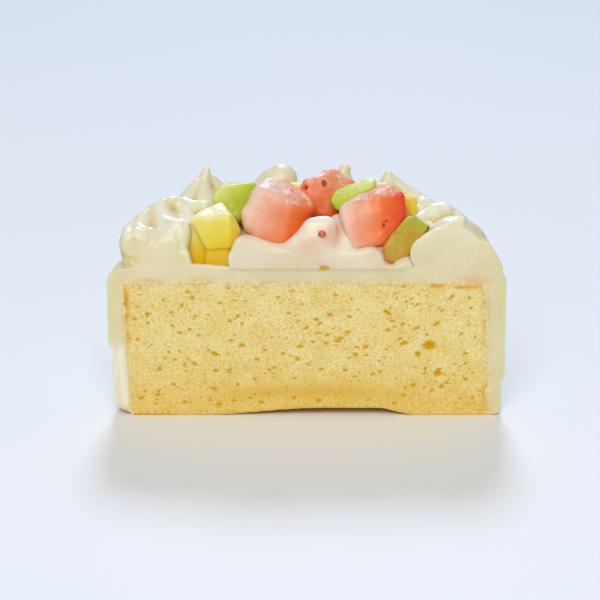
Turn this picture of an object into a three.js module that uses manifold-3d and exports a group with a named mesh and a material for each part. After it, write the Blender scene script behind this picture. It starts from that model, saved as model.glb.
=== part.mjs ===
// Half of a small round sponge cake, cut straight down through its middle and standing on its base.
// A plain yellow sponge is coated with soft cream on its top and its round side. Dollops of the same
// cream, each pulled up to a tip, stand in a ring on the rim, and a bed of cream inside the ring
// carries diced strawberry, kiwi and peach. The cut goes through the sponge, the coat, the bed and
// the two dollops at its ends.
// Millimetres, +Z up. The cut face looks along -Y, and the cake's round back is at +Y.

import * as THREE from "three";
import { mergeVertices } from "three/addons/utils/BufferGeometryUtils.js";
import Module from "manifold-3d";

const wasm = await Module();
wasm.setup();

// Driving dimensions. The model is built about the round cake's own axis, with the cut at Y = 0.
const CAKE_RADIUS = 60; // outside of the cream coat
const COAT_TOP = 46.5; // height of the coat's flat top above the base
const SPONGE_RADIUS = 53.4;
const SPONGE_HEIGHT = 41;
const GAP = 0.3; // clearance between pieces that touch
const SHOULDER = 5; // rounding of the coat's top edge
const FOOT = 2.2; // rounding of the coat's lower edge
const RIM_RADIUS = 45; // ring on which the dollops stand
const REACH = 200; // half side of the blocks that cut the round shapes

const CREAM = new THREE.MeshStandardMaterial({ color: 0xf1e9cd, roughness: 0.42, metalness: 0 });
const BED_CREAM = new THREE.MeshStandardMaterial({ color: 0xf6e6d2, roughness: 0.45, metalness: 0 });
const CRUMB = new THREE.MeshStandardMaterial({ color: 0xebd289, roughness: 0.95, metalness: 0 });
const STRAWBERRY = new THREE.MeshStandardMaterial({ color: 0xf0926f, roughness: 0.25, metalness: 0 });
const KIWI = new THREE.MeshStandardMaterial({ color: 0xb9c23f, roughness: 0.25, metalness: 0 });
const PEACH = new THREE.MeshStandardMaterial({ color: 0xe9d25c, roughness: 0.25, metalness: 0 });

const cake = new THREE.Group();

// Solids: from a three.js geometry to a manifold solid and back to a named mesh.

function solidOf(geometry) {
  const bare = new THREE.BufferGeometry();
  bare.setAttribute("position", geometry.getAttribute("position"));
  bare.setIndex(geometry.getIndex());
  const merged = mergeVertices(bare, 1e-3);
  const corners = merged.getIndex().array;
  const kept = [];
  for (let i = 0; i < corners.length; i += 3) {
    const [a, b, c] = corners.slice(i, i + 3);
    if (a !== b && b !== c && c !== a) kept.push(a, b, c); // a lathe's poles have closed-up triangles
  }
  const mesh = new wasm.Mesh({
    numProp: 3,
    vertProperties: new Float32Array(merged.getAttribute("position").array),
    triVerts: new Uint32Array(kept),
  });
  return new wasm.Manifold(mesh);
}

function largestBody(solid) {
  const bodies = solid.decompose();
  return bodies.reduce((best, body) => (body.volume() > best.volume() ? body : best));
}

function addPiece(name, solid, material) {
  const mesh = largestBody(solid).getMesh();
  const geometry = new THREE.BufferGeometry();
  geometry.setAttribute("position", new THREE.BufferAttribute(mesh.vertProperties, 3));
  geometry.setIndex(new THREE.BufferAttribute(mesh.triVerts, 1));
  geometry.computeVertexNormals();
  const piece = new THREE.Mesh(geometry, material);
  piece.name = name;
  cake.add(piece);
}

// Each vertex goes to where place, a function of its own vector, moves it.
function reshape(geometry, place) {
  const positions = geometry.getAttribute("position");
  const point = new THREE.Vector3();
  for (let i = 0; i < positions.count; i++) {
    place(point.fromBufferAttribute(positions, i));
    positions.setXYZ(i, point.x, point.y, point.z);
  }
  return geometry;
}

// A block from one corner to the opposite one, as a solid.
function block(low, high) {
  const size = new THREE.Vector3().subVectors(high, low);
  const geometry = new THREE.BoxGeometry(size.x, size.y, size.z);
  geometry.translate(...new THREE.Vector3().addVectors(low, high).multiplyScalar(0.5).toArray());
  return solidOf(geometry);
}

// What lies behind the cut and above a height: each cream piece is kept to it.
function behindCutAbove(height, front = 0) {
  return block(new THREE.Vector3(-REACH, front, height), new THREE.Vector3(REACH, REACH, REACH));
}

// A round solid about Z from its outline, given from the axis at the bottom to the axis at the top.
function turned(outline, sides) {
  const geometry = new THREE.LatheGeometry(
    outline.map(([radius, height]) => new THREE.Vector2(radius, height)),
    sides,
  );
  return geometry.rotateX(Math.PI / 2);
}

// Points of a quarter round, from one angle to another, about a centre in the outline's plane.
function quarterRound([centreRadius, centreHeight], size, from, to, steps) {
  return Array.from({ length: steps + 1 }, (_, i) => {
    const angle = from + ((to - from) * i) / steps;
    return [centreRadius + size * Math.cos(angle), centreHeight + size * Math.sin(angle)];
  });
}

function smoothStep(low, high, value) {
  const t = Math.min(1, Math.max(0, (value - low) / (high - low)));
  return t * t * (3 - 2 * t);
}

// Seeded random numbers from 0 to 1, for what is scattered.
function randomFrom(seed) {
  let state = seed;
  return () => {
    state = (state * 1664525 + 1013904223) % 4294967296;
    return state / 4294967296;
  };
}

// The sponge: a half round with a slightly wavy side and top, a shallow arch under the middle of the
// cut, where the base rose in baking, and the largest air cells of the crumb open in the cut face.

const SPONGE_SIDES = 60;
const SIDE_WAVE = 0.35; // unevenness of the sponge's side
const TOP_WAVE = 0.4; // unevenness of the sponge's top
const SIDE_LEAN = 1; // the sponge leans: its foot is this far to the right, its top this far to the left
const ARCH_CENTRE = 1.2;
const ARCH_HALF_WIDTH = 29;
const ARCH_HEIGHT = 2.4;
const SKIN_ROUND = 1.2; // rounding of the sponge's top edge

function spongeSolid(grow, floor) {
  const radius = SPONGE_RADIUS + grow;
  const top = SPONGE_HEIGHT + grow;
  const outline = [
    [0, floor],
    [radius, floor],
    [radius, top * 0.35],
    [radius, top * 0.7],
    ...quarterRound([radius - SKIN_ROUND, top - SKIN_ROUND], SKIN_ROUND, 0, Math.PI / 2, 2),
    [radius * 0.72, top],
    [radius * 0.4, top],
    [0, top],
  ];
  return solidOf(
    reshape(turned(outline, SPONGE_SIDES), (p) => {
      const angle = Math.atan2(p.y, p.x);
      const out = Math.hypot(p.x, p.y) / radius;
      const wave = SIDE_WAVE * (Math.sin(5 * angle + 0.6) + 0.6 * Math.sin(9 * angle + 2 + 0.08 * p.z));
      const scale = (radius + wave * smoothStep(0.6, 1, out)) / radius;
      p.x = p.x * scale + SIDE_LEAN * (1 - (2 * p.z) / top);
      p.y *= scale;
      if (p.z > top / 2) p.z += TOP_WAVE * out * Math.sin(3 * angle + 4 * out) * smoothStep(0, 0.4, out);
    }),
  );
}

// The arch is the cap of a large ball, whose rim meets the base plane all round.
function archSolid() {
  const ball = (ARCH_HALF_WIDTH ** 2 + ARCH_HEIGHT ** 2) / (2 * ARCH_HEIGHT);
  const spread = Math.asin(ARCH_HALF_WIDTH / ball);
  const outline = [
    [0, -ARCH_HEIGHT],
    [ARCH_HALF_WIDTH, -ARCH_HEIGHT],
    ...quarterRound([0, ARCH_HEIGHT - ball], ball, Math.PI / 2 - spread, Math.PI / 2, 4),
  ];
  return solidOf(turned(outline, 32)).translate([ARCH_CENTRE, 0, 0]);
}

// Largest air cells: across, up, half width, half height. Those between them are scattered.
const LARGE_CELLS = [
  [37.2, 20.6, 2.1, 1.9],
  [39.2, 12.1, 1.5, 1.5],
  [33.3, 18.0, 1.2, 1.0],
  [24.8, 30.6, 1.8, 0.8],
  [7.4, 29.7, 1.1, 0.9],
  [-28.7, 7.4, 1.2, 0.8],
  [-19.6, 20.8, 1.1, 0.9],
  [-33.6, 35.4, 1.1, 0.8],
];
const SMALL_CELLS = 18;
const CELL_MARGIN = 5; // bare crumb kept round the edge of the cut face

function airCells() {
  const random = randomFrom(11);
  const cells = [...LARGE_CELLS];
  while (cells.length < LARGE_CELLS.length + SMALL_CELLS) {
    const across = (2 * random() - 1) * (SPONGE_RADIUS - CELL_MARGIN);
    const up = CELL_MARGIN + random() * (SPONGE_HEIGHT - 2 * CELL_MARGIN);
    const half = 0.55 + 0.45 * random();
    const apart = ([x, z, r]) => Math.hypot(x - across, z - up) > r + half + 1.5;
    if (cells.every(apart)) cells.push([across, up, half * 1.25, half * 0.8]);
  }
  return cells.map(([across, up, halfWidth, halfHeight]) => {
    const cell = new THREE.IcosahedronGeometry(1, 1);
    cell.scale(halfWidth, Math.min(halfWidth, halfHeight), halfHeight);
    return solidOf(cell.translate(across, 0, up));
  });
}

function makeSponge() {
  const halfRound = spongeSolid(0, 0).intersect(behindCutAbove(-1));
  const solid = wasm.Manifold.difference([halfRound, archSolid(), ...airCells()]);
  addPiece("sponge", solid, CRUMB);
}

// The cream coat: spread with a palette knife over the sponge's top and side, with a rounded top
// edge. At both ends of the cut its lower part was dragged thinner by the knife, which left a small
// step, and at the left the knife also took its lower corner off.

const COAT_SIDES = 60;
const COAT_WAVE = 0.45; // unevenness of the coat's side
const DRAGS = [
  { side: Math.PI, height: 22, depth: 2.1 },
  { side: 0, height: 11, depth: 0.8 },
];
const DRAG_SPREAD = 0.5; // how far round the cake a dragged patch fades out, in radians
const STEP = 1; // half height of the step at its top
const CORNER_HEIGHT = 6; // of the lower corner that is taken off at the left
const CORNER_DEPTH = 3;

function makeCoat() {
  const outline = [
    [0, 0],
    ...quarterRound([CAKE_RADIUS - FOOT, FOOT], FOOT, -Math.PI / 2, 0, 2),
    [CAKE_RADIUS, CORNER_HEIGHT],
    ...DRAGS.toReversed().flatMap(({ height }) => [
      [CAKE_RADIUS, height - STEP],
      [CAKE_RADIUS, height + STEP],
    ]),
    [CAKE_RADIUS, COAT_TOP * 0.7],
    ...quarterRound([CAKE_RADIUS - SHOULDER, COAT_TOP - SHOULDER], SHOULDER, 0, Math.PI / 2, 4),
    [0, COAT_TOP],
  ];
  const outside = solidOf(
    reshape(turned(outline, COAT_SIDES), (p) => {
      const angle = Math.atan2(p.y, p.x);
      const out = Math.hypot(p.x, p.y) / CAKE_RADIUS;
      const waves = Math.sin(4 * angle + 0.05 * p.z) + 0.5 * Math.sin(11 * angle + 0.11 * p.z);
      const wave = COAT_WAVE * (waves - 1.5); // never past the coat's radius
      const fromEnds = Math.min(Math.abs(angle), Math.PI - Math.abs(angle));
      const free = smoothStep(0, DRAG_SPREAD, fromEnds);
      const drag = DRAGS.reduce((sum, { side, height, depth }) => {
        const near = smoothStep(DRAG_SPREAD, 0, Math.abs(Math.abs(angle) - side));
        return sum + depth * near * smoothStep(height + STEP, height - STEP, p.z);
      }, 0);
      const atLeft = smoothStep(DRAG_SPREAD, 0, Math.PI - Math.abs(angle));
      const corner = CORNER_DEPTH * atLeft * Math.max(0, 1 - p.z / CORNER_HEIGHT);
      const scale = 1 + ((wave * free - drag - corner) / CAKE_RADIUS) * smoothStep(0.85, 1, out);
      p.x *= scale;
      p.y *= scale;
    }),
  );
  const solid = outside.intersect(behindCutAbove(0)).subtract(spongeSolid(GAP, -GAP));
  addPiece("cream_coat", solid, CREAM);
}

// The dollops: each was piped on the rim and pulled off, so it is a soft mound with a few rounded
// ridges that turn up into a tip. Angle is round the cake from the cut's right end, in degrees, and
// out is how far outside the rim ring it stands. Across is its half width along the cake's radius,
// along its half width round the rim. lean moves the tip outwards and forwards round the rim. depth
// is that of its ridges, and blunt is 1 for a rounded head and 0 for a sharp tip.

const DOLLOP_SIDES = 22;
const DOLLOP_ROWS = 10;
const RIDGES = 5;
const RIDGE_TURN = 1.2; // how far the ridges turn on their way up, in radians
const TUCK = 0.14; // how much narrower a dollop's foot is than its bulge, as a share
const DOLLOPS = [
  { angle: 0, out: -0.5, across: 14, along: 11, height: 15.8, lean: [2.2, 1], depth: 0.03, blunt: 0.35 },
  { angle: 15, out: 0, across: 12, along: 9.5, height: 13.2, lean: [1, 1], depth: 0.06, blunt: 0.8 },
  { angle: 27, out: -1, across: 13, along: 8.5, height: 15.4, lean: [2, 0], depth: 0.07, blunt: 0.9 },
  { angle: 41, out: -0.5, across: 11.5, along: 9.5, height: 14.4, lean: [0, 2], depth: 0.09, blunt: 0.6 },
  { angle: 54.5, out: 0, across: 11.5, along: 12, height: 21, lean: [0.8, 1.2], depth: 0.09, blunt: 0.15 },
  { angle: 77, out: 0, across: 11, along: 9.5, height: 20.8, lean: [1, -0.6], depth: 0.1, blunt: 0.3 },
  { angle: 102, out: 0, across: 11.5, along: 11, height: 21, lean: [1, -1.4], depth: 0.07, blunt: 0.9 },
  { angle: 131, out: 0.5, across: 12, along: 11.5, height: 23, lean: [0.6, 0.2], depth: 0.08, blunt: 0.1 },
  { angle: 157, out: 0, across: 12.5, along: 11, height: 17.8, lean: [-0.5, -2], depth: 0.1, blunt: 0.72 },
  { angle: 177, out: 0.2, across: 12, along: 10, height: 13.4, lean: [0.5, -1], depth: 0.06, blunt: 0.8 },
];

// Half width of a dollop at a share of its height: bulging low down, then drawn in to the tip.
function dollopWidth(share, blunt) {
  const foot = 1 - TUCK * smoothStep(0.2, 0, share);
  const pulled = Math.pow(1 - share, 0.95) * (1 + 0.75 * share * (1 - share));
  const domed = Math.sqrt(Math.max(0, 1 - share ** 2.4));
  return foot * (pulled * (1 - blunt) + domed * blunt);
}

function dollopSolid(dollop, grow) {
  const outline = [[0, 0]];
  for (let row = 0; row < DOLLOP_ROWS; row++) {
    const share = Math.sin(((row / DOLLOP_ROWS) * Math.PI) / 2) ** 1.15;
    outline.push([dollopWidth(share, dollop.blunt), share]);
  }
  outline.push([0, 1]);
  const place = new THREE.Matrix4().makeRotationZ(THREE.MathUtils.degToRad(dollop.angle));
  place.multiply(new THREE.Matrix4().makeTranslation(RIM_RADIUS + dollop.out, 0, COAT_TOP - grow));
  return solidOf(
    reshape(turned(outline, DOLLOP_SIDES), (p) => {
      const round = Math.atan2(p.y, p.x);
      const ridge = 1 + dollop.depth * Math.cos(RIDGES * (round - RIDGE_TURN * p.z)) * (1 - p.z / 2);
      const bend = p.z ** 2;
      p.x = p.x * ridge * (dollop.across + grow) + dollop.lean[0] * bend;
      p.y = p.y * ridge * (dollop.along + grow) + dollop.lean[1] * bend;
      p.z *= dollop.height + 2 * grow;
      p.applyMatrix4(place);
    }),
  );
}

// Neighbours are trimmed where they meet: the shorter one gives way.
function makeDollops() {
  const above = behindCutAbove(COAT_TOP + GAP / 6);
  DOLLOPS.forEach((dollop, i) => {
    const taller = DOLLOPS.filter((other, j) => {
      const near = Math.abs(other.angle - dollop.angle) < 40 && j !== i;
      return near && other.height > dollop.height;
    });
    const cutters = taller.map((other) => dollopSolid(other, GAP));
    const trimmed = wasm.Manifold.difference([dollopSolid(dollop, 0), ...cutters]);
    addPiece(`dollop_${i + 1}`, trimmed.intersect(above), CREAM);
  });
}

// The fruit: knife-cut dice with soft edges. A kind has its edge rounding as a share of a die's
// smallest half size, how far its sides bulge, and the steps along each edge. Each die has its
// centre, its size across, front to back and up, its turns about X, Y and Z in degrees, and how much
// wider its top is than its foot.

const KINDS = {
  strawberry: { material: STRAWBERRY, round: 0.72, bulge: 0.07, steps: 4 },
  kiwi: { material: KIWI, round: 0.4, bulge: 0.02, steps: 3 },
  peach: { material: PEACH, round: 0.24, bulge: 0.02, steps: 3 },
};
const FRUIT = [
  { name: "strawberry_1", at: [-8.4, 10.6, 61.2], size: [18, 17.6, 17.8], turn: [4, 12, -30], flare: 0.06 },
  { name: "strawberry_2", at: [6.6, 26, 62], size: [16, 14, 15.5], turn: [2, 14, -18], flare: 0.05 },
  { name: "strawberry_3", at: [19.8, 10.4, 59.6], size: [20, 15.5, 15], turn: [2, -30, 8], flare: 0.02 },
  { name: "strawberry_4", at: [-14.5, 30, 56.4], size: [14, 10.5, 12], turn: [0, -6, 24], flare: 0 },
  { name: "kiwi_1", at: [-21.8, 22, 60.4], size: [13.5, 11, 13], turn: [0, 4, -30], flare: 0.1 },
  { name: "kiwi_2", at: [14, 17.6, 65.2], size: [15.8, 7, 4.6], turn: [28, -31, 8], flare: 0 },
  { name: "kiwi_3", at: [30.2, 8.2, 54.4], size: [15.5, 9, 7], turn: [18, -50, -8], flare: 0 },
  { name: "kiwi_4", at: [22.5, 27.5, 55.5], size: [13, 10, 9], turn: [8, -6, 40], flare: 0 },
  { name: "peach_1", at: [-27.8, 8, 56.8], size: [12, 10.5, 11.8], turn: [6, 8, -14], flare: 0.22 },
  { name: "peach_2", at: [-26.6, 5.6, 48.8], size: [8, 7.5, 4], turn: [0, 0, 10], flare: 0 },
  { name: "peach_3", at: [-33, 14, 52.4], size: [8, 9, 11.2], turn: [4, 14, -20], flare: 0.1 },
  { name: "peach_4", at: [31.2, 20.6, 57.8], size: [8.5, 8, 11], turn: [0, 10, 30], flare: 0 },
  { name: "peach_5", at: [-3.6, 31.4, 60.8], size: [9, 7.5, 12], turn: [6, 6, 24], flare: 0 },
  { name: "peach_6", at: [21.8, 26, 63], size: [8, 7.5, 7], turn: [6, 4, 14], flare: 0 },
];

function kindOf(fruit) {
  return KINDS[fruit.name.split("_")[0]];
}

// A die before it is turned and placed: a box with rounded edges, a flare and slightly bowed faces.
function dieShape(p, fruit, grow) {
  const { round, bulge } = kindOf(fruit);
  const half = fruit.size.map((side) => side / 2 + grow);
  const edge = round * Math.min(...half);
  const core = new THREE.Vector3(...half.map((side) => side - edge));
  p.multiply(new THREE.Vector3(...half));
  const inner = p.clone().clamp(core.clone().negate(), core);
  const over = p.clone().sub(inner);
  if (over.length() > 0) p.copy(inner).addScaledVector(over.normalize(), edge);
  const level = p.z / half[2];
  const wide = 1 + fruit.flare * level + bulge * (1 - 2 * level ** 2);
  const bow = 1 + 0.04 * Math.sin(0.35 * p.z + fruit.at[0]);
  p.x *= wide * bow;
  p.y *= wide / bow;
}

function fruitSolid(fruit, grow) {
  const { steps } = kindOf(fruit);
  const turns = fruit.turn.map((angle) => THREE.MathUtils.degToRad(angle));
  const place = new THREE.Matrix4().makeRotationFromEuler(new THREE.Euler(...turns, "ZYX"));
  place.setPosition(...fruit.at);
  return solidOf(
    reshape(new THREE.BoxGeometry(2, 2, 2, steps, steps, steps), (p) => {
      dieShape(p, fruit, grow);
      p.applyMatrix4(place);
    }),
  );
}

// Each die is trimmed by the dollops and by those dice that came before it in the list.
function makeFruit() {
  const dollops = DOLLOPS.map((dollop) => dollopSolid(dollop, GAP));
  FRUIT.forEach((fruit, i) => {
    const before = FRUIT.slice(0, i).map((other) => fruitSolid(other, GAP));
    const trimmed = wasm.Manifold.difference([fruitSolid(fruit, 0), ...dollops, ...before]);
    addPiece(fruit.name, trimmed.intersect(behindCutAbove(COAT_TOP + GAP / 6, GAP)), kindOf(fruit).material);
  });
}

// The bed: soft cream spooned inside the ring of dollops, with a small pulled peak at its front.
// The dice sit in it. Its parts are flattened balls: centre, and half sizes.

const BED_GRID = [16, 9]; // steps round and up each ball
const BED_BALLS = [
  { at: [3, 8, COAT_TOP - 3], half: [27, 24, 10] },
  { at: [-6, 4, COAT_TOP], half: [19, 14, 8.2] },
  { at: [14, 4, COAT_TOP], half: [17, 13, 7] },
  { at: [0, 23, COAT_TOP - 2], half: [31, 15, 11] },
  { at: [2, 4.6, 52], half: [5.4, 4.6, 9.2] },
];

function makeBed() {
  const balls = BED_BALLS.map(({ at, half }) => {
    const ball = new THREE.SphereGeometry(1, ...BED_GRID);
    return solidOf(ball.rotateX(Math.PI / 2).scale(...half).translate(...at));
  });
  const whole = wasm.Manifold.union(balls).intersect(behindCutAbove(COAT_TOP + GAP / 6));
  const dollops = DOLLOPS.map((dollop) => dollopSolid(dollop, GAP));
  const dice = FRUIT.map((fruit) => fruitSolid(fruit, GAP));
  addPiece("cream_bed", wasm.Manifold.difference([whole, ...dollops, ...dice]), BED_CREAM);
}

makeSponge();
makeCoat();
makeDollops();
makeFruit();
makeBed();

// The origin is under the middle of the half cake, on its base.
const extent = new THREE.Box3().setFromObject(cake);
const middle = extent.getCenter(new THREE.Vector3());
cake.position.set(-middle.x, -middle.y, -extent.min.z);

export default cake;
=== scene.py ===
import math
import random

import bmesh
import bpy
from mathutils import Matrix, Vector, noise


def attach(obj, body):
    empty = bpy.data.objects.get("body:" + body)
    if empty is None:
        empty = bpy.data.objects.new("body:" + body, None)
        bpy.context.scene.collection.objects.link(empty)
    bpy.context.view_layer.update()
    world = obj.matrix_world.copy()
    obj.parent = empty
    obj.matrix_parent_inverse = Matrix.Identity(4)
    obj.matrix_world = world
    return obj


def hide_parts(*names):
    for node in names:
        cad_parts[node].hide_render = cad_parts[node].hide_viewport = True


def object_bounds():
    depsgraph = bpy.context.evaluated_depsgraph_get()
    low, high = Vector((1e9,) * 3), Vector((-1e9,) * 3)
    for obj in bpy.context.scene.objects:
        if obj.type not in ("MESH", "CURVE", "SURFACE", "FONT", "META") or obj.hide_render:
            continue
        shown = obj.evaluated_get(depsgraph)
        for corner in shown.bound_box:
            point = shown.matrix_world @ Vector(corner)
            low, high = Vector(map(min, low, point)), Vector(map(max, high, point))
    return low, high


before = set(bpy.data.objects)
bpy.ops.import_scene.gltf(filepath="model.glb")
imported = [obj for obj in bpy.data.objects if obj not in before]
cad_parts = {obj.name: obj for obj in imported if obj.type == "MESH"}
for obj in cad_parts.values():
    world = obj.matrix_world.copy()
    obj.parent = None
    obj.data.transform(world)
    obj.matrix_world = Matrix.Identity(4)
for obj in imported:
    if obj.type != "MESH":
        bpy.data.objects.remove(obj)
cad_low, cad_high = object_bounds()

# The sponge. One layer of plain yellow cake, baked in a round tin and cut through with a long knife.
# The cut shows an open crumb of air cells that lie flat in the middle and climb to the right, a
# closed yellow band low down where it baked dense, and a thin browned crust at its edges.

MM = 0.001
CUT_DEPTH = cad_low.y  # where the cut face stands in the frame
SPONGE_RADIUS = 54.4
SPONGE_TOP = 41.9
SPONGE_LEAN = 1  # its foot is this far to the right, its top this far to the left
ARCH_HEIGHT = 2.3
FACE_COLUMNS = 430
FACE_ROWS = 164
SIDE_STEPS = 16

# Air cells that stand out: across, up, half width, half height and tilt in degrees.
LARGE_PORES = (
    (37.1, 22, 2.5, 1.9, 10), (39.2, 13.3, 1.5, 1.3, 0), (33.4, 19.4, 1, 1, 0),
    (29.5, 22.7, 1.7, 0.8, 22), (39.5, 29.1, 1.6, 0.7, 30), (24.8, 32.1, 1.9, 0.8, -28),
    (26.2, 29.6, 1, 0.5, 8), (7.5, 31.1, 1.1, 0.9, 5), (9.4, 22.5, 1.3, 0.7, -6),
    (3.6, 25.1, 1.7, 0.4, 2), (24.8, 26.4, 1.2, 0.6, 25), (33.4, 27.5, 1.6, 0.5, 30),
    (31.7, 9.5, 1.2, 0.7, -4), (21.9, 12.3, 0.8, 0.7, 0), (28.6, 5.8, 0.9, 0.6, -10),
    (41.8, 10.3, 1, 0.6, 0), (38.6, 10.6, 0.6, 0.4, 0), (47.7, 11.4, 0.9, 0.6, 10),
    (41.2, 33.2, 0.7, 0.5, 30), (-33.6, 37.2, 0.9, 0.7, 30), (-36.8, 34.8, 0.8, 0.7, 40),
    (-20.9, 36.2, 0.8, 0.4, 0), (-47.5, 31.8, 0.7, 1.1, 0), (-40.1, 28.5, 0.8, 0.5, -20),
    (-19, 29, 0.8, 0.4, 0), (-32.4, 25.3, 0.9, 0.5, -10), (-27.9, 19.5, 1.3, 0.8, -22),
    (-19.5, 21.8, 1.2, 0.8, 15), (-12.7, 20.1, 0.9, 0.5, -12), (-2, 20.7, 1.4, 0.7, 8),
    (-2.9, 16.4, 1.2, 0.5, -8), (-10.1, 14, 1, 0.5, 0), (-27.8, 14.1, 1.2, 0.6, 0),
    (-23.7, 14, 1.1, 0.6, 15), (-40.9, 9.8, 0.8, 0.6, -10), (-28.6, 8.2, 1.2, 0.7, -16),
    (-21.5, 9.2, 0.6, 0.7, 0), (-45.6, 7.7, 0.8, 0.6, 0), (-49.8, 7.5, 0.7, 0.6, 0),
    (-29.8, 4.6, 0.8, 0.4, 0),
)
SMALL_PORES = 480
TINY_PORES = 800
SMALL_HALF = (0.28, 0.6)  # the least half height of a small cell, and how much more the largest has
TINY_HALF = (0.16, 0.14)
PORE_STRETCH = 1.3
DENSE_BAND = (1.5, 7.6, 27, 2.6)  # middle across, middle up, half length, half height

# Where the browned crust shows most: across, up, half width and half height.
BROWNED = (
    (50.5, 42.3, 4.5, 1.8), (39.8, 41, 3.4, 0.8), (48.5, 40.6, 4, 0.7), (54, 33, 1.1, 7), (54, 6, 0.8, 4),
    (-54.4, 35, 1, 7), (-54, 24, 0.8, 4), (-47, 42.6, 4, 0.9), (-33, 42, 3, 0.8), (27, 41.8, 4, 0.8),
)


def smooth_step(low, high, value):
    """0 up to low and 1 from high on, with a smooth rise between them."""
    share = min(1, max(0, (value - low) / (high - low)))
    return share * share * (3 - 2 * share)


def rough(x, y, z, size, octaves=3):
    """Soft unevenness from about -1 to 1, with lumps of the given size."""
    return noise.fractal(Vector((x / size, y / size, z / size)), 1, 2, octaves)


def lean(z):
    """How far to the side the sponge stands at a height."""
    return SPONGE_LEAN * (1 - 2 * z / SPONGE_TOP)


def arch_height(x, y):
    """The gap under the middle of the cut, where the base rose in baking."""
    return ARCH_HEIGHT * smooth_step(-34, 4, x) * smooth_step(33, 20, x) * smooth_step(12, 0, y)


def browned(x, z):
    """The places where the crust shows at the cut, and where it has stained the cream beside it."""
    spots = (((x - across) / half_width) ** 2 + ((z - up) / half_height) ** 2
             for across, up, half_width, half_height in BROWNED)
    return math.exp(-min(spots))


def in_band(x, z):
    """1 in the closed, bent band low down, falling to 0 away from it."""
    across, up, half_length, half_height = DENSE_BAND
    bent = up - 1.2 * ((x - across) / half_length) ** 2
    return math.exp(-(((x - across) / half_length) ** 4) - ((z - bent) / half_height) ** 2)


def pore_tilt(x):
    """The turn of the cells in degrees: down to the right at the left end, climbing at the right."""
    return -12 + 14 * smooth_step(-20, 0, x) + 24 * smooth_step(5, 30, x)


def scattered_pores():
    """The small cells: fewer in the dense band, lying much as the cells that stand out do."""
    draw = random.Random(5)
    pores = []
    while len(pores) < SMALL_PORES + TINY_PORES:
        x = draw.uniform(-SPONGE_RADIUS, SPONGE_RADIUS)
        z = draw.uniform(0.5, SPONGE_TOP - 0.5)
        if draw.random() < 0.85 * in_band(x, z):
            continue
        if len(pores) < SMALL_PORES:
            half = SMALL_HALF[0] + SMALL_HALF[1] * draw.random() ** 3
        else:
            half = TINY_HALF[0] + TINY_HALF[1] * draw.random()
        flat = draw.uniform(0.5, 0.95)
        pores.append((x, z, half * PORE_STRETCH, half * flat, pore_tilt(x) + draw.gauss(0, 16)))
    return pores


def layer(body, name):
    """A value kept at each point of a mesh, which its material reads by this name."""
    layers = body.verts.layers.float
    return layers.get(name) or layers.new(name)


def shape_face(grid):
    """Spreads a unit grid over the cut, then presses the crumb's cells into it, as depth and as a mask
    of their deeper yellow with painted shade, deepest under each cell's upper edge where shade falls."""
    deep = [[0.0] * (FACE_ROWS + 1) for _ in range(FACE_COLUMNS + 1)]
    painted_pore_shade = [[0.0] * (FACE_ROWS + 1) for _ in range(FACE_COLUMNS + 1)]
    step_x = 2 * SPONGE_RADIUS / FACE_COLUMNS
    step_z = SPONGE_TOP / FACE_ROWS
    for x, z, half_width, half_height, tilt in LARGE_PORES + tuple(scattered_pores()):
        reach = half_width * 1.25
        turn = math.radians(tilt)
        hollow = 0.04 + 0.28 * half_height
        strength = min(1, 0.4 + 1.2 * half_height)
        first_column = max(0, int((x - reach + SPONGE_RADIUS) / step_x))
        last_column = min(FACE_COLUMNS, int((x + reach + SPONGE_RADIUS) / step_x) + 1)
        first_row = max(0, int((z - reach) / step_z))
        last_row = min(FACE_ROWS, int((z + reach) / step_z) + 1)
        for column in range(first_column, last_column + 1):
            for row in range(first_row, last_row + 1):
                across = column * step_x - SPONGE_RADIUS - x
                up = row * step_z - z
                along = (across * math.cos(turn) + up * math.sin(turn)) / half_width
                over = (up * math.cos(turn) - across * math.sin(turn)) / half_height
                edge = 1.12 + 0.22 * noise.noise(Vector((across * 1.7 + x, up * 1.7 + z, 3)))
                inside = smooth_step(edge, edge - 0.75, math.hypot(along, over))
                deep[column][row] = max(deep[column][row], hollow * inside)
                # Painted shade, strongest under the cell's upper edge.
                shaded = min(1, 0.8 + 0.4 * over) * inside * strength
                painted_pore_shade[column][row] = max(painted_pore_shade[column][row], shaded)
    pore_tint_and_shade = layer(grid, "pore_tint_and_shade")
    low_edge = layer(grid, "low_edge")
    for vert in grid.verts:
        across, up = vert.co.x + 0.5, vert.co.y + 0.5
        column, row = round(across * FACE_COLUMNS), round(up * FACE_ROWS)
        depth = deep[column][row]
        x = (2 * across - 1) * (SPONGE_RADIUS + 0.25 * rough(0, 7, up * SPONGE_TOP, 3))
        foot = arch_height(x, 0) + 0.12 * rough(x, 5, 0, 1.5)
        top = SPONGE_TOP + 0.35 * rough(x, 9, 0, 9) + 0.15 * rough(x, 3, 0, 2)
        z = foot + up * (top - foot)
        x += lean(z)
        grain = 0.1 * rough(x, 1, z, 1.3, 4) * (1 - 0.7 * in_band(x, z))
        vert[pore_tint_and_shade] = min(1, 1.5 * painted_pore_shade[column][row])
        vert[low_edge] = 1 if up < 0.5 / FACE_ROWS else 0
        vert.co = Vector((x, 0.06 + depth + grain, z))


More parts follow.
